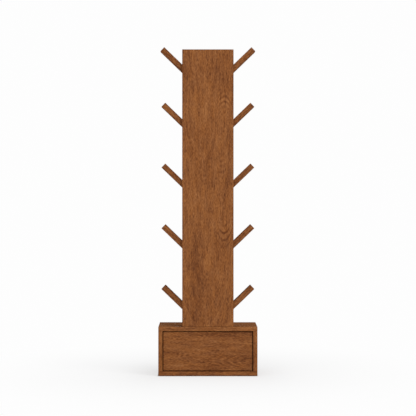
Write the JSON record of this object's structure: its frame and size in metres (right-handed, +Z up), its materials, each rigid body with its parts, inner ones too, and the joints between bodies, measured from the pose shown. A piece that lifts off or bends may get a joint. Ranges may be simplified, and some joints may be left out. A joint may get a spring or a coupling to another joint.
{
  "type": "zigzag bookshelf",
  "caption": "Tall narrow zigzag bookshelf: V pairs of sloping shelf boards between two upright planks, on a low cabinet with a handle-less push-to-open drawer.",
  "frame": {"origin": "on the floor, under the middle of the cabinet", "axes": "+Z up, -Y towards the drawer front, +X to the right seen from the front"},
  "size_m": [0.425, 0.3, 1.4101],
  "materials": {
    "plank_board": "brown-stained hardwood, satin oil, grain upright",
    "shelf_board": "brown-stained hardwood, satin oil, grain along the slope",
    "cabinet_board": "brown-stained hardwood, satin oil",
    "drawer_face": "brown-stained hardwood, satin oil, grain across",
    "back_panel": "brown-stained plywood",
    "drawer_box_board": "clear-lacquered birch",
    "drawer_bottom_board": "clear-lacquered plywood",
    "spline_plywood": "raw plywood",
    "slide_steel": "black zinc-plated steel",
    "screw_steel": "zinc-plated steel",
    "latch_plastic": "grey moulded plastic",
    "plunger_plastic": "pale moulded plastic",
    "pad_felt": "brown felt"
  },
  "bodies": {
    "root": {"base_top": "cabinet_board", "base_bottom": "cabinet_board", "base_side_left": "cabinet_board", "base_side_right": "cabinet_board", "base_back_panel": "back_panel", "front_plank": "plank_board", "rear_plank": "plank_board", "shelf_left_1": "shelf_board", "shelf_left_2": "shelf_board", "shelf_left_3": "shelf_board", "shelf_left_4": "shelf_board", "shelf_left_5": "shelf_board", "shelf_right_1": "shelf_board", "shelf_right_2": "shelf_board", "shelf_right_3": "shelf_board", "shelf_right_4": "shelf_board", "shelf_right_5": "shelf_board", "mitre_spline_2": "spline_plywood", "mitre_spline_3": "spline_plywood", "mitre_spline_4": "spline_plywood", "mitre_spline_5": "spline_plywood", "slide_outer_left": "slide_steel", "slide_outer_right": "slide_steel", "rear_screw_left_1": "screw_steel", "rear_screw_left_2": "screw_steel", "rear_screw_left_3": "screw_steel", "rear_screw_left_4": "screw_steel", "rear_screw_left_5": "screw_steel", "rear_screw_right_1": "screw_steel", "rear_screw_right_2": "screw_steel", "rear_screw_right_3": "screw_steel", "rear_screw_right_4": "screw_steel", "rear_screw_right_5": "screw_steel", "plank_screw_front_left": "screw_steel", "plank_screw_front_right": "screw_steel", "plank_screw_rear_left": "screw_steel", "plank_screw_rear_right": "screw_steel", "shelf_foot_screw_left": "screw_steel", "shelf_foot_screw_right": "screw_steel", "push_latch_screw_left": "screw_steel", "push_latch_screw_right": "screw_steel", "push_latch_housing": "latch_plastic", "felt_pad_front_left": "pad_felt", "felt_pad_front_right": "pad_felt", "felt_pad_rear_left": "pad_felt", "felt_pad_rear_right": "pad_felt"},
    "drawer": {"drawer_front": "drawer_face", "drawer_side_left": "drawer_box_board", "drawer_side_right": "drawer_box_board", "drawer_box_front": "drawer_box_board", "drawer_box_back": "drawer_box_board", "drawer_bottom": "drawer_bottom_board", "drawer_front_screw_left": "screw_steel", "drawer_front_screw_right": "screw_steel", "slide_inner_left": "slide_steel", "slide_inner_right": "slide_steel"},
    "ball_cages": {"ball_cage_left": "slide_steel", "ball_cage_right": "slide_steel"},
    "latch_plunger": {"push_latch_plunger": "plunger_plastic"}
  },
  "joints": [
    {"name": "drawer_slide", "type": "slide", "parent": "root", "child": "drawer", "axis": [0, -1, 0], "range_m": [0, 0.14]},
    {"name": "ball_cage_slide", "type": "slide", "parent": "root", "child": "ball_cages", "axis": [0, -1, 0], "range_m": [0, 0.07]},
    {"name": "push_latch_slide", "type": "slide", "parent": "root", "child": "latch_plunger", "axis": [0, 1, 0], "range_m": [0, 0.003], "stiffness_N_per_m": 300, "springref_m": -0.01}
  ],
  "couplings": [
    {"joint": "ball_cage_slide", "follows": "drawer_slide", "ratio": 0.5}
  ]
}
